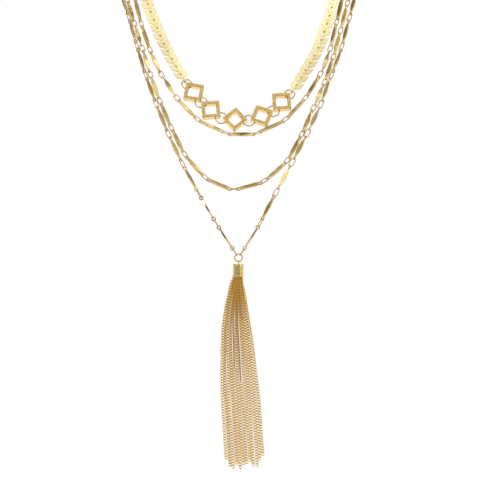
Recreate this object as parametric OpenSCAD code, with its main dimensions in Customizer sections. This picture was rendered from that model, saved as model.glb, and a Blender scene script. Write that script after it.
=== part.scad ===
// Layered necklace in its worn form. The inner strand is a flat chevron chain with five open squares
// in its middle, the next three strands are chains of bar links, and a chain tassel hangs from the
// lowest one. Origin: the middle of the nape, on the neck side of the clasp. +Z is up, -Y is the
// front and +X is the right of the necklace seen from the front.

/* [Bar links] */
// Distance between the two holes of a bar link in the upper and middle bar chains
bar_span = 15.1; // [14.7:0.05:15.15]
// Distance between the two holes of a bar link in the lower bar chain
long_bar_span = 16.1; // [15.7:0.05:16.25]
// Width of the flat eye at each end of a bar link
eye_w = 2.9; // [2.8:0.05:2.95]
// Thickness of the flat eye
eye_t = 0.65; // [0.6:0.05:0.7]
// Diameter of the hole in the eye
eye_hole_d = 1.6; // [1.55:0.05:1.65]
// Width of the bar's leaf shape at its middle, across the eyes' plane
leaf_w = 2.8; // [2.6:0.1:3]
// Thickness of the leaf shape, in the eyes' plane
leaf_t = 1.1; // [1:0.05:1.3]

/* [Oval rings] */
// Distance between the eye holes that an oval ring joins
ring_gap = 5.5; // [5.3:0.05:5.55]
// The same distance in the lower bar chain
long_ring_gap = 6.4; // [6.2:0.05:6.55]
// Outside width of an oval ring
oval_w = 3.6; // [3.5:0.05:3.7]
// Thickness of the oval rings' wire
oval_wire_d = 0.6; // [0.55:0.05:0.65]

/* [Chevron links] */
// Distance from one chevron link to the next
chevron_pitch = 6.3; // [6.2:0.05:6.35]
// Width of a chevron link
chevron_w = 7.8; // [7:0.1:8]
// Thickness of its plate
chevron_t = 0.6; // [0.5:0.05:0.65]
// Width of the slot behind its inner corner
chevron_slot_w = 1.2; // [1.1:0.05:1.3]
// Angle by which its outer corner stands proud of the chain
chevron_tilt = 7; // [6:0.5:8]

/* [Square frames] */
// Side of a square frame
frame_w = 11.8; // [11.5:0.1:12]
// Width of the frame's four walls
frame_wall = 2.2; // [2:0.1:2.4]
// Depth of a square frame, front to back
frame_depth = 3.8; // [3.4:0.1:4.4]
// Angle by which the row of frames leans back
lean = 28; // [27:0.5:29]
// Thickness of the wire of the rings between the frames
frame_wire_d = 0.85; // [0.8:0.05:0.9]

/* [Tassel] */
// Diameter of the tassel's cap
cap_d = 7.2; // [7:0.1:7.4]
// Height of the cap
cap_h = 8; // [7.5:0.1:8.5]
// Number of locks around the chain bundle
lock_count = 16; // [12:1:18]

/* [Hidden] */
$fn = 48;
// Segments of a full circle of the leaf shapes' long flat arcs
arc_fn = 160;

LEFT = -1;
RIGHT = 1;
// Free space that a wire keeps from the edge of the hole that it passes through
play = 0.1;
// Small overlap that joins the shapes of one solid
bond = 0.05;
// Distance from the centre of an eye's hole to the wire of the ring in it
seat = 0.05;
cap_wall = 0.5;

// Vectors
function unit(v) = v / norm(v);
function xyz(row) = [row.x, row.y, row.z];

// Smooth curve through the rows of a route, a few points for each stretch
route_steps = 8;
function bend(a, b, c, d, t) =
    ((2 * b) + (c - a) * t + (2 * a - 5 * b + 4 * c - d) * t * t + (3 * b - a - 3 * c + d) * t * t * t) / 2;
function curve(rows) = let (last = len(rows) - 1) concat(
    [for (i = [0:last - 1], j = [0:route_steps - 1])
        bend(rows[max(i - 1, 0)], rows[i], rows[i + 1], rows[min(i + 2, last)], j / route_steps)],
    [rows[last]]);

// First point of the curve, past its point i, that lies a given distance from a start
function share(a, b, from, gap) =
    let (run = xyz(b) - xyz(a), off = xyz(a) - from, dot = run * off)
    (sqrt(max(dot * dot - (run * run) * (off * off - gap * gap), 0)) - dot) / (run * run);
function reach(path, i, from, gap) =
    i >= len(path) - 2 || norm(xyz(path[i + 1]) - from) >= gap
        ? let (t = share(path[i], path[i + 1], from, gap))
          [path[i] + (path[i + 1] - path[i]) * t, i]
        : reach(path, i + 1, from, gap);
// Points along the curve, each at its own gap from the one before
function walk(path, gaps, k = 0, i = 0, from = undef) =
    let (here = is_undef(from) ? path[0] : from)
    k == len(gaps) ? [here]
        : let (next = reach(path, i, xyz(here), gaps[k]))
          concat([here], walk(path, gaps, k + 1, next[1], next[0]));

// Direction in which the face of a chain looks, turned from the front towards its own side. It also
// looks up, by the lean of the chest, until it turns upright at the nape.
function outward(side, turn) = [side * sin(turn), -cos(turn), tan(lean) * cos(max(turn - 90, 0))];

// Puts a link between two points of a chain. Its face is rolled about the chain, towards the neck on
// both sides.
module along(a, b, side, roll = 0) {
    axis = unit(xyz(b) - xyz(a));
    face = outward(side, (a[3] + b[3]) / 2);
    flat = unit(face - (face * axis) * axis);
    up = flat * cos(roll) + side * cross(flat, axis) * sin(roll);
    across = cross(up, axis);
    multmatrix([
        [axis.x, across.x, up.x, a.x],
        [axis.y, across.y, up.y, a.y],
        [axis.z, across.z, up.z, a.z],
        [0, 0, 0, 1]
    ]) children();
}

// Row of square frames, in its own leaning plane. The row's middle is a point of the front view.
row_y = -112;
row_z = -116;
// Columns: across, up the plane, turn, corner towards the left end, corner towards the right end
FRAMES = [
    [-29.1, 20.2, -10, 135, -45],
    [-18.0, 7.2, 4.5, 135, -45],
    [-2.2, 0.0, 41, 135, -45],
    [15.1, 2.6, -21, 225, 45],
    [28.1, 13.1, 4, 225, 45]
];
frame_corner_r = 1.1;
middle_ring_r = 3.9;
end_ring_r = 3.3;
ring_channel_play = 0.2;
corner_reach = frame_w / sqrt(2) - frame_corner_r * (sqrt(2) - 1);
function corner(f, column) =
    [f[0], f[1]] + corner_reach * [cos(f[2] + f[column]), sin(f[2] + f[column])];
function frame_ring_centre(i) =
    i == 0 ? corner(FRAMES[0], 3)
    : i == len(FRAMES) ? corner(FRAMES[i - 1], 4)
    : (corner(FRAMES[i - 1], 4) + corner(FRAMES[i], 3)) / 2;
function frame_ring_r(i) = i == 0 || i == len(FRAMES) ? end_ring_r : middle_ring_r;
function row_point(p) = [p.x, row_y + p.y * sin(lean), row_z + p.y * cos(lean)];
module in_row() translate([0, row_y, row_z]) rotate([90 - lean, 0, 0]) children();

// Where the chevron chains pull on the outer frame rings
left_pull = 116;
right_pull = 59;
function pull_point(i, angle) =
    row_point(frame_ring_centre(i) + frame_ring_r(i) * [cos(angle), sin(angle)]);

// Clasp, and the height at which each strand reaches it
clasp_w = 14;
clasp_t = 2.4;
clasp_top = 13;
clasp_foot = -11.5;
lug_x = 9.2;
lug_y = 1.2;
STRAND_Z = [8.5, 1.5, -3.5, -8.5];
// How far each strand has slipped round the neck to the left
STRAND_SLIP = [0.5, 0.5, 1.3, 0.9];

// Routes. Columns: across, depth, height, turn of the face. Each goes from the front to the clasp.
// The rows over the shoulder and round the nape are the same on both sides, apart from the slip.
CHEVRON_NAPE = [
    [66.5, -54, -15.5, 45], [69, -38, -2.5, 75], [63.5, -21, 4, 110], [51, -8.5, 7, 140],
    [35.5, -2, 8.3, 165], [21, 0.7, 8.5, 180]
];
UPPER_NAPE = [
    [73, -53.5, -17.8, 45], [74, -37, -7.5, 75], [68, -20.4, -1.7, 110], [54.2, -7.8, 0.6, 140],
    [37.5, -1.1, 1.3, 165], [22, 1, 1.5, 180]
];
MIDDLE_NAPE = [
    [76.4, -53.6, -22, 45], [77, -37, -12.3, 75], [70.3, -20, -7.2, 110], [56, -7.6, -4.5, 140],
    [38.5, -0.6, -3.8, 165], [22, 1.2, -3.5, 180]
];
LOWER_NAPE = [
    [79.2, -55.8, -26.4, 45], [77.4, -38.8, -17.6, 75], [69.2, -22.2, -12.5, 110], [55, -9, -9.8, 140],
    [38.5, -0.9, -9, 165], [22, 1.3, -8.5, 180]
];
function to_clasp(side, strand, rows) = concat(
    [for (r = rows) [side * r.x - STRAND_SLIP[strand], r.y, r.z, r[3]]],
    [[side * lug_x, lug_y, STRAND_Z[strand], 180]]);

CHEVRON_LEFT = concat([
    concat(pull_point(0, left_pull), [0]), [-38, -96, -85.5, 0],
    [-44, -91, -75, 0], [-49, -85.5, -65, 4], [-53.5, -80, -54.5, 8], [-60, -71, -38, 20]
], to_clasp(LEFT, 0, CHEVRON_NAPE));
CHEVRON_RIGHT = concat([
    concat(pull_point(5, right_pull), [0]), [38.2, -99.5, -92.5, 0],
    [47.5, -91, -77.5, 0], [52.5, -85.5, -67.5, 4], [56.5, -79.5, -56.5, 8], [61.5, -71, -40, 20]
], to_clasp(RIGHT, 0, CHEVRON_NAPE));

upper_x = 2;
upper_y = -117;
upper_z = -125.4;
UPPER_LEFT = concat([
    [upper_x - bar_span / 2, upper_y, upper_z, 0], [-24, -115.5, -117.5, 0],
    [-38.5, -108.5, -103.5, 0], [-49.5, -99.5, -87.5, 0], [-57, -90.5, -72, 5],
    [-63, -80.5, -54.5, 10], [-67.5, -70.5, -37.5, 20]
], to_clasp(LEFT, 1, UPPER_NAPE));
UPPER_RIGHT = concat([
    [upper_x + bar_span / 2, upper_y, upper_z, 0], [28, -115.5, -117.5, 0],
    [42, -108.5, -103.5, 0], [52, -99.5, -88.5, 0], [59, -90.5, -72, 5],
    [63.5, -80.5, -54.5, 10], [67.5, -70.5, -37.5, 20]
], to_clasp(RIGHT, 1, UPPER_NAPE));

middle_x = -2.9;
middle_y = -127;
middle_z = -161;
MIDDLE_LEFT = concat([
    [middle_x - ring_gap / 2, middle_y, middle_z, 0], [-19.6, -126, -155, 0],
    [-33.5, -121.5, -140.5, 0], [-42.5, -115, -123.5, 0], [-50, -107.5, -106.5, 0],
    [-56.5, -98.5, -89, 0], [-62, -89, -71.5, 5], [-67.5, -78, -54.5, 10], [-72.3, -66, -38.5, 20]
], to_clasp(LEFT, 2, MIDDLE_NAPE));
MIDDLE_RIGHT = concat([
    [middle_x + ring_gap / 2, middle_y, middle_z, 0], [14.5, -126, -157, 0],
    [30, -121.5, -144.5, 0], [40, -115, -127.5, 0], [47.5, -107.5, -111, 0],
    [55, -98.5, -94, 0], [61, -88.5, -77.5, 5], [66, -78, -60, 10], [71.5, -68.5, -38.5, 20]
], to_clasp(RIGHT, 2, MIDDLE_NAPE));

// Ring that carries the tassel, and where the two ends of the lower bar chain pull on it
pendant_r = 2.5;
pendant_wire_d = 0.8;
pendant_x = 0;
pendant_y = -132;
pendant_z = -205.5;
pendant_pull = 32;
function pendant_point(side) = [
    pendant_x + side * pendant_r * sin(pendant_pull), pendant_y, pendant_z + pendant_r * cos(pendant_pull), 0];
LOWER_LEFT = concat([
    pendant_point(LEFT), [-12.7, -131.5, -186, 0], [-24, -128.5, -167, 0], [-34.5, -124.5, -148, 0],
    [-44, -118, -128.5, 0], [-52.2, -111.2, -109, 0], [-59.5, -101, -89.5, 0], [-65.5, -91, -70, 5],
    [-71, -80.5, -51, 10], [-75.2, -70.5, -37, 20]
], to_clasp(LEFT, 3, LOWER_NAPE));
LOWER_RIGHT = concat([
    pendant_point(RIGHT), [12.4, -131.5, -186, 0], [22.8, -128.5, -166, 0], [33.5, -124.5, -146, 0],
    [43.5, -118, -127, 0], [52, -110.5, -109.5, 0], [59.5, -101, -89.5, 0], [66.5, -91, -71, 5],
    [71.8, -80.5, -51.5, 10], [75.7, -70.5, -37, 20]
], to_clasp(RIGHT, 3, LOWER_NAPE));

// Roll of the chevron links' faces about their chain
CHEVRON_ROLL = -5;
// Roll of the two oval rings beside the upper middle bar, and of the middle oval ring below them
UPPER_RING_ROLL = -48;
MIDDLE_RING_ROLL = -43;
// Roll of each bar's eyes away from the face of its chain, from the front to the clasp
UPPER_MIDDLE_ROLL = -70;
UPPER_LEFT_ROLL = [-67, -66, -97, -71, -50, -43, -35, -25, -15, -8, 0, 0];
UPPER_RIGHT_ROLL = [-67, -64, -60, -85, -50, -38, -30, -20, -12, -6, 0, 0];
MIDDLE_LEFT_ROLL = [-63, -66, -62, -63, -65, -73, -81, -50, -35, -22, -12, -5, 0, 0];
MIDDLE_RIGHT_ROLL = [-64, -69, -63, -63, -79, -58, -60, -49, -35, -22, -12, -5, 0, 0];
LOWER_LEFT_ROLL = [-19, -19, -40, -62, -62, -50, -34, -28, -22, -15, -8, -4, 0, 0];
LOWER_RIGHT_ROLL = [-22, -53, -88, -78, -90, -60, -36, -48, -45, -30, -18, -8, 0, 0];

// Links

// Distances from its hole at which a bar leaves its eye and at which it has narrowed to the leaf's
// thickness, seen on the eye's face
NECK = [0.5, 6.3];
LONG_BAR_NECK = [1, 2.2];

// Bar link: its first hole is at the origin and its other hole is at the end of its span
module bar_link(span, neck) {
    tip = eye_w / 2;
    neck_y = sqrt(tip * tip - neck[0] * neck[0]) - bond;
    leaf_len = span - 2 * tip;
    rise = leaf_w / 2 - eye_t / 2;
    leaf_r = (leaf_len * leaf_len / 4 + rise * rise) / (2 * rise);
    intersection() {
        linear_extrude(height = leaf_w + 1, center = true) difference() {
            union() {
                circle(d = eye_w);
                translate([span, 0]) circle(d = eye_w);
                polygon([
                    [neck[0], neck_y], [neck[1], leaf_t / 2], [span - neck[1], leaf_t / 2],
                    [span - neck[0], neck_y], [span - neck[0], -neck_y], [span - neck[1], -leaf_t / 2],
                    [neck[1], -leaf_t / 2], [neck[0], -neck_y]
                ]);
            }
            circle(d = eye_hole_d);
            translate([span, 0]) circle(d = eye_hole_d);
        }
        rotate([90, 0, 0]) linear_extrude(height = eye_w + 1, center = true) {
            translate([span / 2, 0]) square([span + eye_w + 1, eye_t], center = true);
            intersection() {
                translate([span / 2, leaf_w / 2 - leaf_r]) circle(r = leaf_r, $fn = arc_fn);
                translate([span / 2, leaf_r - leaf_w / 2]) circle(r = leaf_r, $fn = arc_fn);
            }
        }
    }
}

// Oval ring around the origin in the XY plane. Its straight sides run along X and are cut to the
// nearest tenth of a millimetre.
module oval_ring(length, width, wire_d) {
    straight = round((length - width) * 10) / 10;
    for (side = [LEFT, RIGHT]) {
        translate([side * straight / 2, 0, 0]) rotate([0, 0, -90 * side]) rotate_extrude(angle = 180)
            translate([width / 2, 0]) circle(d = wire_d);
        translate([0, side * width / 2, 0]) rotate([0, 90, 0])
            cylinder(d = wire_d, h = straight, center = true);
    }
}

// Round ring around the origin in the XY plane
module round_ring(r, wire_d) rotate_extrude() translate([r, 0]) circle(d = wire_d);

// Oval ring from point a to point b, whose wire lies the two seats inside those points
module joining_ring(a, b, side, roll, seat_a, seat_b) {
    span = norm(xyz(b) - xyz(a));
    along(a, b, side, roll) translate([(span + seat_a - seat_b) / 2, 0, 0]) rotate([90, 0, 0])
        oval_ring(span - seat_a - seat_b, oval_end_w, oval_wire_d);
}

// Chevron link: a tilted arrow plate whose outer corner ends in a hook. The hook goes over the inner
// corner of the next link, through its slot, and spreads out to a foot behind it.
module chevron_link() {
    half_w = chevron_w / 2;
    slot_start = -0.5;
    slot_len = 2.2;
    rotate([0, -chevron_tilt, 0]) linear_extrude(height = chevron_t, center = true) difference() {
        polygon([
            [4.9, 0.4], [2.1, half_w - 0.1], [-3, half_w], [-1.1, 0.5],
            [-1.1, -0.5], [-3, -half_w], [2.1, 0.1 - half_w], [4.9, -0.4]
        ]);
        for (x = [slot_start + chevron_slot_w / 2, slot_start + slot_len - chevron_slot_w / 2])
            translate([x, 0]) circle(d = chevron_slot_w);
        translate([slot_start + slot_len / 2, 0])
            square([slot_len - chevron_slot_w, chevron_slot_w], center = true);
    }
    side_profile(hook_w) polygon([
        [3.1, 0.2], [3.1, 0.5], [4, hook_top], [hook_end, hook_top], [hook_end, hook_roof],
        [4.3, hook_roof], [4, 0.4]
    ]);
    side_profile(peg_w) polygon([
        [hook_end - peg_t, hook_roof + bond], [hook_end, hook_roof + bond], [hook_end, hook_floor - peg_t],
        [5.1, hook_floor - peg_t], [5.1, hook_floor], [hook_end - peg_t, hook_floor]
    ]);
    side_profile(foot_w) polygon([
        [5.1, hook_floor - peg_t], [foot_end, hook_floor - peg_t], [foot_end, hook_floor], [5.1, hook_floor]
    ]);
}
hook_w = 1.2;
hook_top = 0.95;
hook_roof = 0.6;
hook_floor = -0.65;
hook_end = chevron_pitch + 0.3;
peg_w = 0.7;
peg_t = 0.45;
// The foot closes the next link's slot from behind
foot_w = 1.8;
foot_end = hook_end + 1.4;
// Distance from a link's own point to a frame ring's wire in its hook
hook_reach = hook_end - peg_t - frame_wire_d / 2 - 2 * play;
// Distance from the last link's own point to the wire of the ring in its slot
slot_seat = 0;
oval_end_w = oval_w - oval_wire_d;

// Extrudes a profile of the XZ plane to a width along Y
module side_profile(width) rotate([90, 0, 0]) linear_extrude(height = width, center = true) children();

// Chains

module chevron_chain(side, route, count) color("khaki") {
    path = curve(route);
    points = walk(path, [for (i = [1:count]) i == 1 ? hook_reach : chevron_pitch]);
    for (i = [1:count])
        along(points[i], points[i - 1], side, CHEVRON_ROLL) chevron_link();
    joining_ring(points[count], path[len(path) - 1], side, 0, slot_seat, seat);
}

// Bars from point first on, a ring after each of them, and one ring to the clasp
module bar_links(side, points, first, span, neck, rolls, lug) {
    last = len(rolls) - 1;
    for (j = [0:last]) {
        a = points[first + 2 * j];
        b = points[first + 2 * j + 1];
        along(a, b, side, rolls[j]) bar_link(span, neck);
        if (j < last)
            joining_ring(b, points[first + 2 * j + 2], side, (rolls[j] + rolls[j + 1]) / 2, seat, seat);
        else
            joining_ring(b, lug, side, 0, seat, seat);
    }
}

module upper_bar_chain(side, route, rolls) color("goldenrod") {
    path = curve(route);
    points = walk(path, [for (r = rolls, gap = [ring_gap, bar_span]) gap]);
    joining_ring(points[0], points[1], side, UPPER_RING_ROLL, seat, seat);
    bar_links(side, points, 1, bar_span, NECK, rolls, path[len(path) - 1]);
}

module middle_bar_chain(side, route, rolls) color("goldenrod") {
    path = curve(route);
    points = walk(path, [for (r = rolls, gap = [bar_span, ring_gap]) gap]);
    bar_links(side, points, 0, bar_span, NECK, rolls, path[len(path) - 1]);
}

module lower_bar_chain(side, route, rolls) color("goldenrod") {
    path = curve(route);
    points = walk(path, [for (j = [0:len(rolls) - 1], gap = [j == 0 ? pendant_gap : long_ring_gap,
        long_bar_span]) gap]);
    joining_ring(points[0], points[1], side, rolls[0], pendant_seat, seat);
    bar_links(side, points, 1, long_bar_span, LONG_BAR_NECK, rolls, path[len(path) - 1]);
}
// Distance from the pendant ring's wire to the first eye, and how far the joining ring reaches behind it
pendant_gap = 4.8;
pendant_seat = -pendant_wire_d / 2 - oval_wire_d / 2 - 2 * play;

module chevron_chain_left() chevron_chain(LEFT, CHEVRON_LEFT, 30);
module chevron_chain_right() chevron_chain(RIGHT, CHEVRON_RIGHT, 31);

module upper_bar_chain_left() {
    upper_bar_chain(LEFT, UPPER_LEFT, UPPER_LEFT_ROLL);
    color("goldenrod") along(UPPER_LEFT[0], UPPER_RIGHT[0], RIGHT, UPPER_MIDDLE_ROLL)
        bar_link(bar_span, NECK);
}
module upper_bar_chain_right() upper_bar_chain(RIGHT, UPPER_RIGHT, UPPER_RIGHT_ROLL);

module middle_bar_chain_left() {
    middle_bar_chain(LEFT, MIDDLE_LEFT, MIDDLE_LEFT_ROLL);
    color("goldenrod") joining_ring(MIDDLE_LEFT[0], MIDDLE_RIGHT[0], RIGHT, MIDDLE_RING_ROLL, seat, seat);
}
module middle_bar_chain_right() middle_bar_chain(RIGHT, MIDDLE_RIGHT, MIDDLE_RIGHT_ROLL);

module lower_bar_chain_left() lower_bar_chain(LEFT, LOWER_LEFT, LOWER_LEFT_ROLL);
module lower_bar_chain_right() lower_bar_chain(RIGHT, LOWER_RIGHT, LOWER_RIGHT_ROLL);

// Square frames and their rings

module rounded_square(w, r) {
    square([w, w - 2 * r], center = true);
    square([w - 2 * r, w], center = true);
    for (x = [LEFT, RIGHT], y = [LEFT, RIGHT])
        translate([x, y] * (w / 2 - r)) circle(r = r);
}

module frame_ring(i) color("gold") in_row() translate(frame_ring_centre(i))
    round_ring(frame_ring_r(i), frame_wire_d);

// A frame with the two channels in which its rings run
module frame(i) color("darkkhaki") in_row() difference() {
    translate([FRAMES[i][0], FRAMES[i][1], 0]) rotate([0, 0, FRAMES[i][2]])
        linear_extrude(height = frame_depth, center = true) difference() {
            rounded_square(frame_w, frame_corner_r);
            square(frame_w - 2 * frame_wall, center = true);
        }
    for (n = [i, i + 1])
        translate(frame_ring_centre(n))
            round_ring(frame_ring_r(n), frame_wire_d + 2 * ring_channel_play);
}

module frame_1() frame(0);
module frame_2() frame(1);
module frame_3() frame(2);
module frame_4() frame(3);
module frame_5() frame(4);
module frame_ring_1() frame_ring(0);
module frame_ring_2() frame_ring(1);
module frame_ring_3() frame_ring(2);
module frame_ring_4() frame_ring(3);
module frame_ring_5() frame_ring(4);
module frame_ring_6() frame_ring(5);

// Tassel, around the lowest point of the pendant ring's wire

module pendant_ring() color("gold") translate([pendant_x, pendant_y, pendant_z]) rotate([90, 0, 0])
    round_ring(pendant_r, pendant_wire_d);

// Loop on the cap, and the cap's top below the wire that carries it
loop_r = 1.25;
loop_wire_d = 0.8;
loop_drop = 0.25;
cap_drop = 1.6;
cap_round = 0.9;
module tassel_cap() color("darkgoldenrod") translate([pendant_x, pendant_y, pendant_z - pendant_r]) {
    translate([0, 0, -loop_drop]) rotate([90, 0, 90]) round_ring(loop_r, loop_wire_d);
    translate([0, 0, -cap_drop - cap_h]) rotate_extrude() {
        difference() {
            union() {
                square([cap_d / 2, cap_h - cap_round]);
                square([cap_d / 2 - cap_round, cap_h]);
                translate([cap_d / 2 - cap_round, cap_h - cap_round]) circle(r = cap_round);
            }
            translate([-1, -1]) square([cap_d / 2 - cap_wall + 1, cap_h - 1.2 + 1]);
        }
        translate([cap_d / 2 - 0.1, 0.35]) circle(d = 0.7);
    }
}

// Chain bundle: lobed sections from the cap's inside down to ragged ends.
// Columns: drop below the cap's top, sideways shift, half width, half depth, depth of the grooves
BUNDLE = [
    [1.5, 0, 2.9, 2.9, 0.05],
    [cap_h, 0, 2.9, 2.9, 0.08],
    [cap_h + 1.2, -0.3, 3.6, 3.4, 0.1],
    [14, -1, 4.9, 4.1, 0.14],
    [19, -1, 6.1, 4.6, 0.14],
    [28, -1.3, 7.9, 5.4, 0.16],
    [42, -1.3, 10, 6.2, 0.16],
    [56, -0.7, 11.4, 6.7, 0.18],
    [75, 0.3, 12.7, 7, 0.18],
    [88, 1.3, 13.2, 7.2, 0.18],
    [104, 2.4, 13.4, 7.2, 0.18],
    [122, 3.7, 13.5, 7, 0.2]
];
groove_points = 4;
bundle_around = lock_count * groove_points;
// Length of each lock's end, different from lock to lock
function lock_end(i) = 3.5 + 8 * pow(sin(i * 137), 2);
// From 0 in the groove between two locks to 1 on the crest of a lock
function crest(i) = abs(sin(180 * i / groove_points));
function bundle_point(i, row, size, drop) =
    let (grooved = size - row[4] * (1 - crest(i)), angle = 360 * i / bundle_around)
    [row[1] + row[2] * grooved * cos(angle), row[3] * grooved * sin(angle), -drop];
module tassel_bundle() {
    lowest = BUNDLE[len(BUNDLE) - 1];
    rings = concat(
        [for (row = BUNDLE) [for (i = [0:bundle_around - 1]) bundle_point(i, row, 1, row[0])]],
        [[for (i = [0:bundle_around - 1])
            bundle_point(i, lowest, 0.93, lowest[0] + crest(i) * lock_end(floor(i / groove_points)))]]
    );
    last = len(rings) - 1;
    middles = [[0, 0, -BUNDLE[0][0]], [lowest[1], 0, -lowest[0] - 1]];
    head = (last + 1) * bundle_around;
    faces = [for (i = [0:bundle_around - 1]) let (next = (i + 1) % bundle_around) each concat(
        [[head, next, i], [head + 1, last * bundle_around + i, last * bundle_around + next]],
        [for (k = [0:last - 1]) let (here = k * bundle_around, below = here + bundle_around)
            each [[here + i, below + next, below + i], [here + i, here + next, below + next]]]
    )];
    color("peru") translate([pendant_x, pendant_y, pendant_z - pendant_r - cap_drop])
        polyhedron(points = concat([for (r = rings, p = r) p], middles), faces = faces);
}

// Clasp: a plain closed slab with one lug for each end of each strand
module clasp() color("gold") {
    translate([-clasp_w / 2, 0, clasp_foot]) cube([clasp_w, clasp_t, clasp_top - clasp_foot]);
    for (side = [LEFT, RIGHT], z = STRAND_Z)
        translate([side * lug_x, lug_y, z]) rotate([90, 0, 0])
            linear_extrude(height = eye_t, center = true) difference() {
                union() {
                    circle(d = eye_w);
                    translate([-side * 2, 0]) square([3, eye_w * 0.8], center = true);
                }
                circle(d = eye_hole_d);
            }
}

frame_1();
frame_2();
frame_3();
frame_4();
frame_5();
frame_ring_1();
frame_ring_2();
frame_ring_3();
frame_ring_4();
frame_ring_5();
frame_ring_6();
chevron_chain_left();
chevron_chain_right();
upper_bar_chain_left();
upper_bar_chain_right();
middle_bar_chain_left();
middle_bar_chain_right();
lower_bar_chain_left();
lower_bar_chain_right();
pendant_ring();
tassel_cap();
tassel_bundle();
clasp();
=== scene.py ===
# Layered necklace: four gold strands on one clasp, a row of open squares and a tassel of fine chains

import math
import random

import bmesh
import bpy
import numpy as np
from mathutils import Matrix, Vector, noise


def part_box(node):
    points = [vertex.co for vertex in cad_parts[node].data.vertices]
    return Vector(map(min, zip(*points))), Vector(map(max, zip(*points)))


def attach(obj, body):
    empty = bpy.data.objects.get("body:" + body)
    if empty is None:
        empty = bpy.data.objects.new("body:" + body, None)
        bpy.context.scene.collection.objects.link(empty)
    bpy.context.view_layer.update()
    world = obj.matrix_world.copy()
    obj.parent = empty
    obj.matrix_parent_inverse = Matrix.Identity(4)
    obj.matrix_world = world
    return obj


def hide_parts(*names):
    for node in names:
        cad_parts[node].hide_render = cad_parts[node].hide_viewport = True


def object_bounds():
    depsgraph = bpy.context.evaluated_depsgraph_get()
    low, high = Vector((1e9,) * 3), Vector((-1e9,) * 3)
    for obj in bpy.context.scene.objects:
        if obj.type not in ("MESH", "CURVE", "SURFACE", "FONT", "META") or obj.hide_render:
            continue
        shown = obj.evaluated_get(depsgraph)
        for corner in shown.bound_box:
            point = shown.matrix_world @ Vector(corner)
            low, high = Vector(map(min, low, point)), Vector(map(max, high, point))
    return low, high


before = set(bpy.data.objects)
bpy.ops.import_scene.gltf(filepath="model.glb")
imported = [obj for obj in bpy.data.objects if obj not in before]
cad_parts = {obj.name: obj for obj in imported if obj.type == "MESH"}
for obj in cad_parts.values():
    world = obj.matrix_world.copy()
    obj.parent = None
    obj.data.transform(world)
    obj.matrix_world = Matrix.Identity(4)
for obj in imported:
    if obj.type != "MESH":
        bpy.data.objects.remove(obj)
cad_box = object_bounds()

MM = 0.001
SEED = 7


def add_object(name, data):
    thing = bpy.data.objects.new(name, data)
    bpy.context.scene.collection.objects.link(thing)
    return thing


# Camera, as far off as a portrait lens would be, level with the middle of the photo

PHOTO_SIDE = 480
# Size of a pixel, and the depth at which it has that size
PIXEL = 0.65 * MM
STRAND_DEPTH = -110 * MM
# Column of the photo in which the necklace's middle lies, and height of the photo's upper edge
MIDDLE_PIXEL = 238.5
TOP_HEIGHT = -38 * MM
CAMERA_DISTANCE = 5.0
SENSOR = 36.0


def make_camera():
    data = bpy.data.cameras.new("camera")
    data.sensor_width = SENSOR
    data.lens = SENSOR * CAMERA_DISTANCE / (PHOTO_SIDE * PIXEL)
    data.clip_start, data.clip_end = 0.1, 100
    camera = add_object("camera", data)
    across = (PHOTO_SIDE / 2 - MIDDLE_PIXEL) * PIXEL
    height = TOP_HEIGHT - PHOTO_SIDE / 2 * PIXEL
    camera.location = (across, STRAND_DEPTH - CAMERA_DISTANCE, height)
    camera.rotation_euler = (math.pi / 2, 0, 0)
    bpy.context.scene.camera = camera


# Shader nodes


def node_group(name, inputs, outputs):
    """An empty shader group with its named sockets, and its input and output nodes"""
    group = bpy.data.node_groups.new(name, "ShaderNodeTree")
    for label, kind, value in inputs:
        socket = group.interface.new_socket(name=label, in_out="INPUT", socket_type=kind)
        socket.default_value = value
    for label, kind in outputs:
        group.interface.new_socket(name=label, in_out="OUTPUT", socket_type=kind)
    return group, group.nodes.new("NodeGroupInput"), group.nodes.new("NodeGroupOutput")


def feed(tree, socket, value):
    """Gives a socket a value or another node's output"""
    if isinstance(value, bpy.types.NodeSocket):
        tree.links.new(value, socket)
    else:
        socket.default_value = value


def add_node(tree, kind, settings=(), **links):
    """A node with its settings, whose named inputs take a value or another node's output"""
    node = tree.nodes.new(kind)
    for label, value in dict(settings).items():
        setattr(node, label, value)
    for label, value in links.items():
        feed(tree, next(s for s in node.inputs if s.name.replace(" ", "_") == label and s.enabled), value)
    return node


def math_node(tree, operation, first, second=0.0, clamp=False):
    node = tree.nodes.new("ShaderNodeMath")
    node.operation = operation
    node.use_clamp = clamp
    for socket, value in zip(node.inputs, (first, second)):
        feed(tree, socket, value)
    return node.outputs[0]


def spread(tree, value, low, high, to_low=0.0, to_high=1.0):
    """Carries a value's stretch from low to high over to another stretch"""
    node = add_node(tree, "ShaderNodeMapRange", Value=value, From_Min=low, From_Max=high, To_Min=to_low,
                    To_Max=to_high)
    return node.outputs[0]


def mix_colors(tree, factor, first, second):
    node = tree.nodes.new("ShaderNodeMix")
    node.data_type = "RGBA"
    for socket, value in zip((node.inputs[0], node.inputs[6], node.inputs[7]), (factor, first, second)):
        feed(tree, socket, value)
    return node.outputs[2]


def show_to_camera(tree, lit, seen):
    """Shows the camera the shader seen, and mirrored and scattered light the shader lit"""
    rays = tree.nodes.new("ShaderNodeLightPath")
    mix = tree.nodes.new("ShaderNodeMixShader")
    tree.links.new(rays.outputs["Is Camera Ray"], mix.inputs[0])
    tree.links.new(lit.outputs[0], mix.inputs[1])
    tree.links.new(seen.outputs[0], mix.inputs[2])
    return mix.outputs[0]


# Finishes

# Direction of the brushed lines, and the depth of their relief
BRUSH_TURN = math.radians(38)
GRAIN_DEPTH = 0.05 * MM
# The pressed lines of a chevron, in millimetres from the link's middle: how far they run back for each
# millimetre sideways, the first one, their distance and their width
ARM_SLOPE = 0.8
FIRST_LINE = 2.6
LINE_DISTANCE = 1.55
LINE_WIDTH = 0.34
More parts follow.
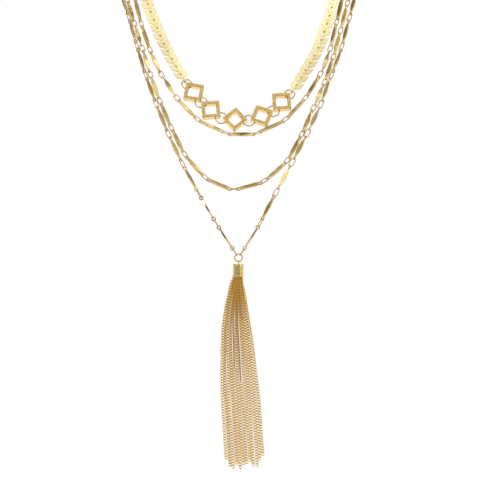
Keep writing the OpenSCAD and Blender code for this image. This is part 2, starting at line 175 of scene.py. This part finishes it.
# How deep they are pressed, and how dark the painted shade in them is
LINE_DEPTH = 0.12 * MM
LINE_SHADE = 0.35


def plating_group():
    """The gold's colour: paler and redder patches, and links that differ a little from each other. On the
    tassel's chains the links' tone also holds painted shade.
    """
    group, given, result = node_group(
        "Gold plating",
        [
            ("Gold", "NodeSocketColor", (0.9, 0.7, 0.35, 1)),
            ("Copper", "NodeSocketColor", (0.7, 0.45, 0.2, 1)),
            ("Patch Size", "NodeSocketFloat", 4.0),
            ("Patches", "NodeSocketFloat", 0.3),
            ("Link Difference", "NodeSocketFloat", 0.2),
        ],
        [("Color", "NodeSocketColor")],
    )
    place = group.nodes.new("ShaderNodeTexCoord").outputs["Object"]
    scale = math_node(group, "DIVIDE", 1000.0, given.outputs["Patch Size"])
    clouds = add_node(group, "ShaderNodeTexNoise", Vector=place, Scale=scale, Detail=3.0)
    spots = spread(group, clouds.outputs["Fac"], 0.36, 0.64)
    patches = math_node(group, "MULTIPLY", spots, given.outputs["Patches"])
    tone = add_node(group, "ShaderNodeAttribute", {"attribute_name": "tone"}).outputs["Fac"]
    links = math_node(group, "MULTIPLY", tone, given.outputs["Link Difference"])
    amount = math_node(group, "ADD", patches, links, clamp=True)
    color = mix_colors(group, amount, given.outputs["Gold"], given.outputs["Copper"])
    group.links.new(color, result.inputs["Color"])
    return group


def grain_group():
    """Fine brushed lines and the pits between them. It gives their roughness and their height."""
    group, given, result = node_group(
        "Brushed grain",
        [
            ("Line Size", "NodeSocketFloat", 0.2),
            ("Line Length", "NodeSocketFloat", 6.0),
            ("Low Roughness", "NodeSocketFloat", 0.3),
            ("High Roughness", "NodeSocketFloat", 0.5),
        ],
        [("Roughness", "NodeSocketFloat"), ("Height", "NodeSocketFloat")],
    )
    place = group.nodes.new("ShaderNodeTexCoord").outputs["Object"]
    scale = math_node(group, "DIVIDE", 1000.0, given.outputs["Line Size"])
    squeeze = math_node(group, "DIVIDE", 1.0, given.outputs["Line Length"])
    stretch = add_node(group, "ShaderNodeCombineXYZ", X=squeeze, Y=1.0, Z=1.0)
    turned = add_node(group, "ShaderNodeMapping", Vector=place, Rotation=(0.0, BRUSH_TURN, 0.0))
    lined = add_node(group, "ShaderNodeVectorMath", {"operation": "MULTIPLY"})
    group.links.new(turned.outputs[0], lined.inputs[0])
    group.links.new(stretch.outputs[0], lined.inputs[1])
    lines = add_node(group, "ShaderNodeTexNoise", Vector=lined.outputs[0], Scale=scale, Detail=4.0)
    pits = add_node(group, "ShaderNodeTexNoise", Vector=place, Scale=scale, Detail=2.0)
    height = math_node(group, "ADD", lines.outputs["Fac"], pits.outputs["Fac"])
    rough = spread(group, height, 0.7, 1.3, given.outputs["Low Roughness"], given.outputs["High Roughness"])
    group.links.new(rough, result.inputs["Roughness"])
    group.links.new(height, result.inputs["Height"])
    return group


def arrow_group():
    """The pressed lines along a chevron's arms, 1 in a line, from the link's own UV in millimetres"""
    group, given, result = node_group(
        "Arrow lines",
        [
            ("First Line", "NodeSocketFloat", 1.0),
            ("Line Distance", "NodeSocketFloat", 1.5),
            ("Line Width", "NodeSocketFloat", 0.3),
        ],
        [("Line", "NodeSocketFloat")],
    )
    flat = group.nodes.new("ShaderNodeUVMap")
    flat.uv_map = "link"
    parts = add_node(group, "ShaderNodeSeparateXYZ", Vector=flat.outputs[0])
    slope = math_node(group, "MULTIPLY", math_node(group, "ABSOLUTE", parts.outputs["Y"]), ARM_SLOPE)
    reach = math_node(group, "ADD", parts.outputs["X"], slope)
    off = math_node(group, "SUBTRACT", reach, given.outputs["First Line"])
    half_distance = math_node(group, "MULTIPLY", given.outputs["Line Distance"], 0.5)
    wave = math_node(group, "PINGPONG", off, half_distance)
    line = add_node(group, "ShaderNodeMapRange", {"interpolation_type": "SMOOTHSTEP"}, Value=wave,
                    From_Min=0.0, From_Max=given.outputs["Line Width"], To_Min=1.0, To_Max=0.0)
    group.links.new(line.outputs[0], result.inputs["Line"])
    return group


def gold(name, groups, color, copper, patches, grain, rough, relief):
    """A gold finish. patches: their size, strength and the strength of the links' tone and painted shade;
    grain: its size and length
    """
    material = bpy.data.materials.new(name)
    material.use_nodes = True
    tree = material.node_tree
    shader = tree.nodes["Principled BSDF"]
    shader.inputs["Metallic"].default_value = 1.0
    plating = add_node(tree, "ShaderNodeGroup", {"node_tree": groups["plating"]}, Gold=(*color, 1),
                       Copper=(*copper, 1), Patch_Size=patches[0], Patches=patches[1],
                       Link_Difference=patches[2])
    lines = add_node(tree, "ShaderNodeGroup", {"node_tree": groups["grain"]}, Line_Size=grain[0],
                     Line_Length=grain[1], Low_Roughness=rough[0], High_Roughness=rough[1])
    bump = add_node(tree, "ShaderNodeBump", Strength=relief, Distance=GRAIN_DEPTH,
                    Height=lines.outputs["Height"])
    tree.links.new(plating.outputs["Color"], shader.inputs["Base Color"])
    tree.links.new(lines.outputs["Roughness"], shader.inputs["Roughness"])
    tree.links.new(bump.outputs["Normal"], shader.inputs["Normal"])
    return material


def press_lines(material, groups, shadow):
    """Paints shade into the lines along a chevron's arms, and sinks them"""
    tree = material.node_tree
    shader = tree.nodes["Principled BSDF"]
    lines = add_node(tree, "ShaderNodeGroup", {"node_tree": groups["arrow"]}, First_Line=FIRST_LINE,
                     Line_Distance=LINE_DISTANCE, Line_Width=LINE_WIDTH)
    amount = math_node(tree, "MULTIPLY", lines.outputs["Line"], LINE_SHADE)
    color = mix_colors(tree, amount, shader.inputs["Base Color"].links[0].from_socket, (*shadow, 1))
    sunk = add_node(tree, "ShaderNodeBump", {"invert": True}, Strength=0.5, Distance=LINE_DEPTH,
                    Height=lines.outputs["Line"], Normal=shader.inputs["Normal"].links[0].from_socket)
    tree.links.new(color, shader.inputs["Base Color"])
    tree.links.new(sunk.outputs["Normal"], shader.inputs["Normal"])


def painted_glow(material, strength):
    """Painted glow: the finish gives off light in its own colour, standing in for the light that brushed
    faces scatter and that fine chains throw on each other
    """
    tree = material.node_tree
    shader = tree.nodes["Principled BSDF"]
    tree.links.new(shader.inputs["Base Color"].links[0].from_socket, shader.inputs["Emission Color"])
    shader.inputs["Emission Strength"].default_value = strength


def make_finishes():
    groups = {"plating": plating_group(), "grain": grain_group(), "arrow": arrow_group()}
    looks = {
        "chevron_face": gold("brushed_gold", groups, (1.0, 0.9, 0.52), (0.97, 0.82, 0.42),
                             patches=(3.0, 0.2, 0.25), grain=(0.16, 8.0), rough=(0.24, 0.34), relief=0.08),
        # The chevrons' side and slot walls: a darker copy of the gold, painted shade
        "chevron_side_shade": gold("cut_edge_gold", groups, (0.66, 0.50, 0.20), (0.46, 0.31, 0.10),
                             patches=(1.5, 0.6, 0.2), grain=(0.1, 2.0), rough=(0.22, 0.36), relief=0.2),
        "bar": gold("polished_gold", groups, (0.95, 0.80, 0.42), (0.45, 0.34, 0.13),
                    patches=(6.0, 0.3, 0.5), grain=(0.12, 10.0), rough=(0.12, 0.22), relief=0.03),
        "frame_face": gold("satin_gold", groups, (0.86, 0.69, 0.31), (0.4, 0.3, 0.1),
                           patches=(0.9, 0.7, 0.1), grain=(0.14, 5.0), rough=(0.3, 0.46), relief=0.25),
        "frame_side": gold("mirror_gold", groups, (1.0, 0.82, 0.45), (0.92, 0.6, 0.24),
                           patches=(3.0, 0.5, 0.1), grain=(0.2, 4.0), rough=(0.1, 0.2), relief=0.03),
        # The frames' rounded edges: orange painted reflection
        "frame_edge_reflection": gold("worn_edge_gold", groups, (0.95, 0.5, 0.12), (0.7, 0.3, 0.05),
                           patches=(1.5, 0.5, 0.1), grain=(0.2, 4.0), rough=(0.1, 0.2), relief=0.03),
        "ring": gold("wire_gold", groups, (0.74, 0.52, 0.18), (0.48, 0.31, 0.08),
                     patches=(4.0, 0.4, 0.4), grain=(0.15, 3.0), rough=(0.14, 0.26), relief=0.1),
        "cap": gold("cap_gold", groups, (0.84, 0.74, 0.37), (0.56, 0.45, 0.18),
                    patches=(2.5, 0.35, 0.1), grain=(0.12, 6.0), rough=(0.1, 0.2), relief=0.03),
        # The fine chains' copper is the colour of the painted shade at their links' ends and deep in the
        # bundle
        "fine_chain": gold("chain_gold", groups, (1.0, 0.78, 0.2), (0.52, 0.32, 0.09),
                           patches=(8.0, 0.12, 1.0), grain=(0.1, 2.0), rough=(0.12, 0.22), relief=0.03),
    }
    press_lines(looks["chevron_face"], groups, (0.62, 0.48, 0.20))
    # Painted glow on the chevron faces and the fine chains
    painted_glow(looks["chevron_face"], 0.14)
    painted_glow(looks["fine_chain"], 0.17)
    return looks


# Shapes

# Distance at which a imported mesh's points are one, and angle up to which its faces are one flat side
SAME_POINT = 0.002 * MM
SAME_SIDE = math.radians(1)
# Steps round an oval ring
OVAL_STEPS = 40


def find_islands(bm):
    """Groups of faces that hang together, one for each loose link"""
    found = []
    seen = set()
    for start in bm.faces:
        if start in seen:
            continue
        seen.add(start)
        group = [start]
        for face in group:
            for edge in face.edges:
                for other in edge.link_faces:
                    if other not in seen:
                        seen.add(other)
                        group.append(other)
        found.append(group)
    return found


def measure(faces):
    """Middle of a link, its axes from the longest to the shortest, and its size along them"""
    corners = np.array([[v.co for v in f.verts] for f in faces])
    a, b, c = corners[:, 0], corners[:, 1], corners[:, 2]
    volumes = np.einsum("ij,ij->i", a, np.cross(b, c)) / 6
    sums = a + b + c
    middle = (volumes[:, None] * sums).sum(0) / 4 / volumes.sum()
    moments = sum(np.einsum("i,ij,ik->jk", volumes, v, v) for v in (sums, a, b, c)) / 20
    moments = moments / volumes.sum() - np.outer(middle, middle)
    axes = np.linalg.eigh(moments)[1].T[::-1]
    along = (corners.reshape(-1, 3) - middle) @ axes.T
    return middle, axes, np.ptp(along, axis=0)


def put_in_place(bm, middle, axes):
    """Moves a shape from the origin to a link's middle, and turns it to the link's axes"""
    if np.linalg.det(axes) < 0:
        axes = axes * np.array([[1], [1], [-1]])
    place = Matrix.Translation(middle) @ Matrix(axes.T).to_4x4()
    bmesh.ops.transform(bm, matrix=place, verts=bm.verts)


def wire_ring(radius, wire, around, sides):
    """Round ring about the origin in the XY plane"""
    bm = bmesh.new()
    section = Matrix.Translation((radius, 0, 0)) @ Matrix.Rotation(math.pi / 2, 4, "X")
    bmesh.ops.create_circle(bm, segments=sides, radius=wire / 2, matrix=section)
    bmesh.ops.spin(bm, geom=bm.verts[:] + bm.edges[:], angle=2 * math.pi, steps=around, axis=(0, 0, 1),
                   use_merge=True)
    bmesh.ops.recalc_face_normals(bm, faces=bm.faces)
    return bm


def oval_ring(length, width, wire):
    """A round ring whose two halves are drawn apart along X"""
    bm = wire_ring((width - wire) / 2, wire, around=OVAL_STEPS, sides=10)
    bmesh.ops.rotate(bm, verts=bm.verts, matrix=Matrix.Rotation(math.pi / OVAL_STEPS, 3, "Z"))
    for vert in bm.verts:
        vert.co.x += math.copysign((length - width) / 2, vert.co.x)
    return bm


def add_mesh(bm, other):
    """Puts another bmesh into bm, and frees it"""
    mesh = bpy.data.meshes.new("part")
    other.to_mesh(mesh)
    other.free()
    bm.from_mesh(mesh)
    bpy.data.meshes.remove(mesh)


def soften(bm, edges, width, segments):
    """Rounds edges"""
    bmesh.ops.bevel(bm, geom=edges, offset=width, offset_type="OFFSET", segments=segments, profile=0.5,
                    affect="EDGES", clamp_overlap=False, material=-1)


def sharp_edges(bm, least_angle):
    return [e for e in bm.edges if e.is_manifold and e.calc_face_angle() > math.radians(least_angle)]


def merged_copy(node):
    """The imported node's mesh in one piece"""
    bm = bmesh.new()
    bm.from_mesh(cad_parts[node].data)
    bmesh.ops.remove_doubles(bm, verts=bm.verts, dist=SAME_POINT)
    return bm


def flatten_sides(bm):
    """Makes each flat side one face"""
    bmesh.ops.dissolve_limit(bm, angle_limit=SAME_SIDE, verts=bm.verts, edges=bm.edges,
                             delimit={"MATERIAL"})


def finish_piece(name, bm, body, finishes, nodes, weighted=False):
    """Makes the object, dresses it, lets it ride with its body, and hides the imported nodes it is built
    from
    """
    mesh = bpy.data.meshes.new(name)
    for face in bm.faces:
        face.smooth = True
    bm.to_mesh(mesh)
    bm.free()
    for finish in finishes:
        mesh.materials.append(finish)
    piece = add_object(name, mesh)
    if weighted:
        normals = piece.modifiers.new("face_normals", "WEIGHTED_NORMAL")
        normals.mode = "FACE_AREA"
        normals.weight = 80
    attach(piece, body)
    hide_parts(*nodes)


# Strands

# Width of the rounded edges, and angle in degrees from which an edge is rounded
BAR_EDGE = 0.09 * MM
CHEVRON_EDGE = 0.07 * MM
LINK_CORNER = 30
# An oval ring is flatter than this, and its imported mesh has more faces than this
FLAT_RING = 0.8 * MM
RING_FACES = 2000
# How squarely a face of a chevron looks up or down to be its top or bottom
FLAT_ENOUGH = 0.9


def map_arrow(bm, faces, middle, axes):
    """Writes a chevron link's own plane to its UV, and sets its top and bottom apart from its edges, which
    take the darker gold of painted shade
    """
    plane = bm.loops.layers.uv.get("link")
    along = np.array([v.co for f in faces for v in f.verts]) - middle
    reach = along @ axes[0]
    forward = axes[0] * math.copysign(1, reach.max() + reach.min())
    for face in faces:
        face.material_index = 0 if abs(face.normal.dot(Vector(axes[2]))) > FLAT_ENOUGH else 1
        for loop in face.loops:
            place = np.array(loop.vert.co) - middle
            loop[plane].uv = (place @ forward / MM, place @ axes[1] / MM)


def make_strand(name, node, finishes, edge_width, chance, arrows=False):
    """A chain with rounded link edges. Its oval rings are drawn anew in round wire, in the last finish."""
    bm = merged_copy(node)
    bm.normal_update()
    tone = bm.faces.layers.float.new("tone")
    bm.loops.layers.uv.new("link")
    rings = []
    for faces in find_islands(bm):
        middle, axes, size = measure(faces)
        shade = chance.random()
        if size[2] < FLAT_RING and len(faces) > RING_FACES:
            rings.append((middle, axes, size, shade))
            bmesh.ops.delete(bm, geom=faces, context="FACES")
            continue
        for face in faces:
            face[tone] = shade
        if arrows:
            map_arrow(bm, faces, middle, axes)
    flatten_sides(bm)
    soften(bm, sharp_edges(bm, LINK_CORNER), edge_width, segments=2)
    for middle, axes, size, shade in rings:
        ring = oval_ring(*size)
        put_in_place(ring, middle, axes)
        ring_tone = ring.faces.layers.float.new("tone")
        for face in ring.faces:
            face[ring_tone] = shade
            face.material_index = len(finishes) - 1
        add_mesh(bm, ring)
    finish_piece(name, bm, "necklace", finishes, [node], weighted=True)


def make_strands(looks):
    chance = random.Random(SEED)
    chevron_looks = [looks["chevron_face"], looks["chevron_side_shade"], looks["ring"]]
    bar_looks = [looks["bar"], looks["ring"]]
    for side in ("left", "right"):
        make_strand(f"chevrons_{side}", f"chevron_chain_{side}", chevron_looks,
                    CHEVRON_EDGE, chance, arrows=True)
        for strand in ("upper", "middle", "lower"):
            make_strand(f"{strand}_bars_{side}", f"{strand}_bar_chain_{side}", bar_looks,
                        BAR_EDGE, chance)


# Square frames, and the round rings beside them

# Width of the rounded edges, and the angle in degrees and the length from which an edge is rounded
FRAME_EDGE = 0.4 * MM
FRAME_CORNER = 40
LONG_EDGE = 1.5 * MM
# How far the row leans back, and how squarely its front faces and its sides look to the front
LEAN = math.radians(28)
FRONT_ON = 0.97
SIDE_ON = 0.2


def make_frames(looks):
    front = Vector((0, -math.cos(LEAN), math.sin(LEAN)))
    frame_looks = [looks["frame_face"], looks["frame_side"], looks["frame_edge_reflection"]]
    for number in range(1, 6):
        node = f"frame_{number}"
        bm = merged_copy(node)
        flatten_sides(bm)
        long_edges = [e for e in sharp_edges(bm, FRAME_CORNER) if e.calc_length() > LONG_EDGE]
        soften(bm, long_edges, FRAME_EDGE, segments=3)
        bm.normal_update()
        for face in bm.faces:
            facing = abs(face.normal.dot(front))
            # Front faces take the satin gold, sides the polished gold, and the rounded edges between them
            # orange painted reflection
            face.material_index = 0 if facing > FRONT_ON else 1 if facing < SIDE_ON else 2
        finish_piece(f"square_{number}", bm, "necklace", frame_looks, [node], weighted=True)


def make_round_ring(name, node, body, look):
    bm = merged_copy(node)
    middle, axes, size = measure(bm.faces)
    bm.free()
    wire = size[2]
    ring = wire_ring((size[0] - wire) / 2, wire, around=64, sides=16)
    put_in_place(ring, middle, axes)
    finish_piece(name, ring, body, [look], [node])


# Tassel. Drops are measured down from the cap's top, in millimetres.

LINK_PITCH = 1.76 * MM
LINK_WIDTH = 2.3 * MM
LINK_WIRE = 0.5 * MM
LINK_TWIST = math.radians(42)
# Half a link's width, in millimetres, by which the chains stay inside the bundle's form
HALF_LINK = LINK_WIDTH / 2 / MM
CAP_LOOP = 1.8 * MM
# Drop at which the chains come out of the cap
CHAIN_TOP = 8

# How much painted shade darkens a link's ends, where the links cross, and a link deep in the bundle, and
# how much darker one chain is than another
END_SHADE = 1.0
COVER_SHADE = 0.5
CHAIN_SHADE = 0.15
# Where the painted shade at a link's ends begins, from its middle, 0, to its tip, 1, and over what share it
# darkens
END_START = 0.45
END_SHARE = 0.35
# Painted shade: how deep in the bundle a chain that isn't tucked looks at its top, and how deep a chain's
# dark edge looks
LEAST_COVER = 0.2
EDGE_COVER = 1.4

# The bundle's form. Columns: drop, sideways shift, half width, half depth
BUNDLE = [
    (0, 0, 2.9, 2.9), (8, 0, 2.9, 2.9), (9.2, -0.3, 3.6, 3.4), (14, -1, 4.9, 4.1), (19, -1, 6.1, 4.6),
    (28, -1.3, 7.9, 5.4), (42, -1.3, 10, 6.2), (56, -0.7, 11.4, 6.7), (75, 0.3, 12.7, 7),
    (88, 1.3, 13.2, 7.2), (104, 2.4, 13.4, 7.2), (134, 4.4, 13.5, 7),
]
# How round the bundle is: 0 is as deep at its edges as in its middle, 1 has no depth at its edges
BUNDLE_ROUND = 0.85

# The chains across the front. Columns: place from the left edge, -1, to the right edge, 1; drop of its
# end; drop down to which the chain hangs with its edge to the front, painted dark with shade
FRONT_CHAINS = [
    (-0.97, 128, 0), (-0.79, 131.5, 0), (-0.61, 132.6, 0), (-0.43, 131, 0), (-0.25, 133, 68),
    (-0.08, 130.4, 0), (0.1, 130.6, 78), (0.28, 128.2, 0), (0.46, 131, 36), (0.64, 131.2, 0),
    (0.81, 127.2, 0), (0.97, 125.2, 0),
]
# The rows of chains behind each other. Columns: name; depth of a chain that shows and of a tucked one,
# from the bundle's back, -1, to its front, 1; how much shorter it may be; its links' lag at the top
ROWS = [
    ("front", 1, 1, 0, 0),
    ("inner", 0.1, 0.1, 2, 0.45),
    ("core", 0.5, -0.5, 3, 0),
    ("back", -1, -1, 4, 0),
]

# Drops from which and to which the bundle loosens, and its chains turn their faces to the front
LOOSENS = (18, 78)
TURNS = (12, 82)
# How far a tucked chain lies in from the front at the top, and how much of that it comes out in the end
TUCK = 0.45
COMES_OUT = 0.75
# Turn at the top of chains that show their edge or their face, and how much chains differ, in degrees
EDGE_TURN = 75
FACE_TURN = 25
TURN_DIFFERENCE = 12
# Sideways waves of the chains: how far they reach, in millimetres, how fast they change with the drop,
# and how much they differ from chain to chain, by place and by chance
SWAY = 0.35
SWAY_PACE = 0.04
SWAY_BY_PLACE = 3
SWAY_BY_CHANCE = 6
# Step down a chain over which its direction is taken, in millimetres
AIM_STEP = 0.5
# How much lower the links of every second chain hang than their neighbours, as a share of their pitch
STAGGER = 0.35


def bundle_form(drop):
    """Shift, half width and half depth of the bundle at a drop, in millimetres"""
    table = np.array(BUNDLE)
    return [float(np.interp(drop, table[:, 0], table[:, column])) for column in (1, 2, 3)]


def progress(drop, stretch):
    """How far a drop is along a stretch of drops, from 0 to 1"""
    start, end = stretch
    return min(max((drop - start) / (end - start), 0), 1)


def curb_link(hand):
    """Vertices and faces of one twisted link, which hangs along Z, and how near each face is to its ends,
    where shade is painted
    """
    half_length = (LINK_PITCH + LINK_WIRE) / 2
    half_width = (LINK_WIDTH - LINK_WIRE) / 2
    bm = wire_ring(half_width, LINK_WIRE, around=12, sides=5)
    bmesh.ops.rotate(bm, verts=bm.verts, matrix=Matrix.Rotation(math.pi / 2, 3, "X"))
    for vert in bm.verts:
        turn = math.atan2(vert.co.z, vert.co.x)
        vert.co.z += (half_length - half_width) * math.sin(turn)
        vert.co.rotate(Matrix.Rotation(hand * LINK_TWIST * vert.co.z / half_length, 3, "Z"))
    bm.verts.index_update()
    points = np.array([v.co for v in bm.verts])
    faces = np.array([[v.index for v in f.verts] for f in bm.faces])
    heights = np.abs(points[faces].mean(1)[:, 2]) / half_length
    bm.free()
    return points, faces, np.clip((heights - END_START) / END_SHARE, 0, 1)


def chain_places(place, depth_share, tucked, edge_on, first, last, yaw, swing, lag):
    """The places of a chain's links, from its top to its end, and how deep each lies in the bundle, which
    sets its painted shade.

    place runs across the bundle and depth_share from its back, -1, to its front, 1. A tucked chain starts
    nearer the bundle's middle and comes out further down. The links behind hang so that their holes lie
    behind the front ones, but for the lag at the top, in millimetres.
    """
    low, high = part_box("tassel_cap")
    middle_y = (low.y + high.y) / 2
    eye = bpy.context.scene.camera.location

    def at(drop):
        shift, width, depth = bundle_form(drop)
        sway = noise.noise(Vector((drop * SWAY_PACE, swing, place * SWAY_BY_PLACE)))
        loose = progress(drop, LOOSENS)
        inset = 1 - tucked * (1 - COMES_OUT * loose * loose * (3 - 2 * loose))
        x = shift + place * (width - HALF_LINK) + SWAY * sway
        y = -(depth - HALF_LINK) * inset * math.sqrt(1 - place * place * BUNDLE_ROUND)
        front = Vector((x * MM, middle_y + y * MM, high.z - CAP_LOOP - drop * MM))
        own_y = middle_y + y * depth_share * MM
        # Painted shade: darkest on a chain's dark edge, then by its depth in the bundle, fading as the
        # bundle loosens
        cover = EDGE_COVER if drop < edge_on else (tucked + LEAST_COVER) * (1 - loose)
        return eye + (front - eye) * (own_y - eye.y) / (front.y - eye.y), cover

    found = []
    drop = first
    while drop < last:
        low_drop = drop + lag * (1 - progress(drop, LOOSENS))
        (here, cover), (below, _) = at(low_drop), at(low_drop + AIM_STEP)
        down = (below - here).normalized()
        turn = yaw[0] if drop < edge_on else yaw[0] + (yaw[1] - yaw[0]) * progress(drop, TURNS)
        side = Vector((math.cos(turn), math.sin(turn), 0))
        side = (side - side.dot(down) * down).normalized()
        front = (-down).cross(side)
        turned = Matrix((side, front, -down)).transposed().to_4x4()
        found.append((Matrix.Translation(here) @ turned, cover))
        drop += LINK_PITCH / MM * abs(down.z)
    return found


def join_links(name, chains, look):
    """One mesh of all the links of several chains"""
    points, faces, tones, start = [], [], [], 0
    for places, hand, tone in chains:
        link_points, link_faces, ends = curb_link(hand)
        for place, cover in places:
            points.append(link_points @ np.array(place.to_3x3()).T + np.array(place.translation))
            faces.append(link_faces + start)
            # Painted shade at the links' crossing ends and deep in the bundle, and a random tone for each
            # chain
            tones.append(END_SHADE * ends + COVER_SHADE * cover + CHAIN_SHADE * tone)
            start += len(link_points)
    mesh = bpy.data.meshes.new(name)
    mesh.from_pydata(np.concatenate(points).tolist(), [], np.concatenate(faces).tolist())
    mesh.attributes.new("tone", "FLOAT", "FACE").data.foreach_set("value", np.concatenate(tones))
    mesh.shade_smooth()
    mesh.materials.append(look)
    piece = add_object(name, mesh)
    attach(piece, "tassel")
    return piece


def make_tassel(looks):
    """Twelve chains across the front, with three more behind each of them"""
    chance = random.Random(SEED + 1)
    rows = {row[0]: [] for row in ROWS}
    for number, (place, end, edge_on) in enumerate(FRONT_CHAINS):
        hidden = number % 2
        jitter = math.radians(chance.uniform(-TURN_DIFFERENCE, TURN_DIFFERENCE))
        first = CHAIN_TOP + STAGGER * LINK_PITCH / MM if hidden else CHAIN_TOP - LINK_PITCH / MM
        yaw = (math.radians(EDGE_TURN if hidden or edge_on else FACE_TURN) + jitter, jitter)
        swing = chance.random() * SWAY_BY_CHANCE
        for row, shown_depth, tucked_depth, shorter, lag in ROWS:
            depth_share = tucked_depth if hidden else shown_depth
            last = end - shorter * chance.random()
            places = chain_places(place, depth_share, TUCK * hidden, edge_on, first, last, yaw, swing, lag)
            rows[row].append((places, 1 if hidden else -1, chance.random()))
    for row, chains in rows.items():
        join_links(f"tassel_{row}_chains", chains, looks["fine_chain"])
    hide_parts("tassel_bundle")


def dress(node, look):
    """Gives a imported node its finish"""
    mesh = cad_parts[node].data
    mesh.materials.clear()
    mesh.materials.append(look)


# Floor, mirrored studio and lamps

FLOOR_DROP = 0.12
FLOOR_RADIUS = 30

# What the gold mirrors, from straight below to straight above. Columns: height from 0 to 1, light, warmth
FRONT_ZONES = [
    (0.0, 0.85, 0.1), (0.30, 0.8, 0.15), (0.40, 0.5, 0.4), (0.46, 0.16, 1.0), (0.54, 0.18, 0.9),
    (0.64, 0.2, 0.5), (0.84, 0.2, 0.4), (0.90, 0.55, 0.2), (0.95, 1.0, 0.0), (0.984, 1.0, 0.0),
    (0.989, 0.45, 0.2), (0.993, 0.3, 0.3), (1.0, 0.25, 0.3),
]
BACK_ZONES = [
    (0.0, 0.5, 0.15), (0.35, 0.7, 0.1), (0.48, 0.6, 0.1), (0.58, 0.35, 0.4), (0.75, 0.18, 0.6),
    (0.90, 0.14, 0.4), (0.97, 0.14, 0.4), (1.0, 0.22, 0.4),
]

# Lamps. Columns: name, place, width and height, watts, colour
LAMPS = [
    ("left_softbox", (-2.2, -2.4, 1.4), (2.0, 2.4), 22, (1, 0.98, 0.94)),
    ("right_softbox", (2.4, -2.0, 0.8), (1.6, 2.0), 12, (1, 0.97, 0.92)),
    ("rear_softbox", (0.4, 2.6, 1.5), (2.0, 1.2), 25, (1, 1, 1)),
    ("glint_lamp", (-0.9, -3.2, 1.9), (0.9, 0.9), 3.5, (1, 1, 1)),
]
LAMP_AIM = Vector((0, -0.1, -0.18))


def make_floor():
    """A pale floor that is plain white to the camera and a little darker where the gold mirrors it"""
    bm = bmesh.new()
    bmesh.ops.create_circle(bm, cap_ends=True, segments=96, radius=FLOOR_RADIUS)
    for vert in bm.verts:
        vert.co.z = cad_box[0].z - FLOOR_DROP
    mesh = bpy.data.meshes.new("floor")
    bm.to_mesh(mesh)
    bm.free()
    material = bpy.data.materials.new("white_floor")
    material.use_nodes = True
    tree = material.node_tree
    shader = tree.nodes["Principled BSDF"]
    place = tree.nodes.new("ShaderNodeTexCoord").outputs["Object"]
    clouds = add_node(tree, "ShaderNodeTexNoise", Vector=place, Scale=3.0, Detail=2.0)
    color = mix_colors(tree, clouds.outputs["Fac"], (0.70, 0.68, 0.64, 1), (0.78, 0.76, 0.72, 1))
    tree.links.new(color, shader.inputs["Base Color"])
    shader.inputs["Roughness"].default_value = 0.9
    shader.inputs["Emission Color"].default_value = (1, 0.98, 0.94, 1)
    shader.inputs["Emission Strength"].default_value = 0.35
    seen = add_node(tree, "ShaderNodeEmission", Strength=1.0)
    tree.links.new(show_to_camera(tree, shader, seen), tree.nodes["Material Output"].inputs["Surface"])
    mesh.materials.append(material)
    floor = add_object("floor", mesh)


def make_lamp(name, place, size, power, color):
    data = bpy.data.lights.new(name, "AREA")
    data.shape = "RECTANGLE"
    data.size, data.size_y = size
    data.energy = power
    data.color = color
    lamp = add_object(name, data)
    lamp.location = place
    aim = LAMP_AIM - Vector(place)
    lamp.rotation_euler = aim.to_track_quat("-Z", "Y").to_euler()
    lamp.visible_camera = False


def zone_ramp(tree, height, zones):
    """The zones' light, which turns from white to amber with its warmth"""
    bands = add_node(tree, "ShaderNodeValToRGB", Fac=height)
    ramp = bands.color_ramp
    while len(ramp.elements) < len(zones):
        ramp.elements.new(0.5)
    for element, (position, light, warmth) in zip(ramp.elements, zones):
        element.position = position
        element.color = (light, light * (0.98 - 0.3 * warmth), light * (0.95 - 0.55 * warmth), 1)
    return bands.outputs["Color"]


def make_world():
    """White behind the necklace, and a studio of bright and dark zones for its gold to mirror"""
    world = bpy.data.worlds.new("studio")
    world.use_nodes = True
    bpy.context.scene.world = world
    tree = world.node_tree
    tree.nodes.clear()
    direction = tree.nodes.new("ShaderNodeTexCoord").outputs["Generated"]
    parts = add_node(tree, "ShaderNodeSeparateXYZ", Vector=direction)
    height = spread(tree, parts.outputs["Z"], -1.0, 1.0)
    behind = spread(tree, parts.outputs["Y"], -0.3, 0.4)
    front_light = zone_ramp(tree, height, FRONT_ZONES)
    back_light = zone_ramp(tree, height, BACK_ZONES)
    light = mix_colors(tree, behind, front_light, back_light)
    clouds = add_node(tree, "ShaderNodeTexNoise", Vector=direction, Scale=2.6, Detail=1.0)
    uneven = spread(tree, clouds.outputs["Fac"], 0.35, 0.65, 0.8, 1.5)
    off_side = math_node(tree, "ABSOLUTE", parts.outputs["X"])
    sides = spread(tree, off_side, 0.1, 0.8, 0.85, 1.6)
    right = spread(tree, parts.outputs["X"], -0.4, 0.4, 0.94, 1.5)
    strength = math_node(tree, "MULTIPLY", math_node(tree, "MULTIPLY", uneven, sides), right)
    mirrored = add_node(tree, "ShaderNodeBackground", Color=light, Strength=strength)
    seen = add_node(tree, "ShaderNodeBackground", Color=(1, 1, 1, 1), Strength=1.0)
    output = tree.nodes.new("ShaderNodeOutputWorld")
    tree.links.new(show_to_camera(tree, mirrored, seen), output.inputs["Surface"])


def make_studio():
    make_world()
    make_floor()
    for lamp in LAMPS:
        make_lamp(*lamp)
    view = bpy.context.scene.view_settings
    view.view_transform = "Standard"
    view.look = "None"


make_camera()
make_studio()
looks = make_finishes()
make_strands(looks)
make_frames(looks)
for number in range(1, 7):
    make_round_ring(f"round_ring_{number}", f"frame_ring_{number}", "necklace", looks["ring"])
make_round_ring("tassel_ring", "pendant_ring", "pendant_ring", looks["ring"])
make_tassel(looks)
dress("tassel_cap", looks["cap"])
dress("clasp", looks["ring"])
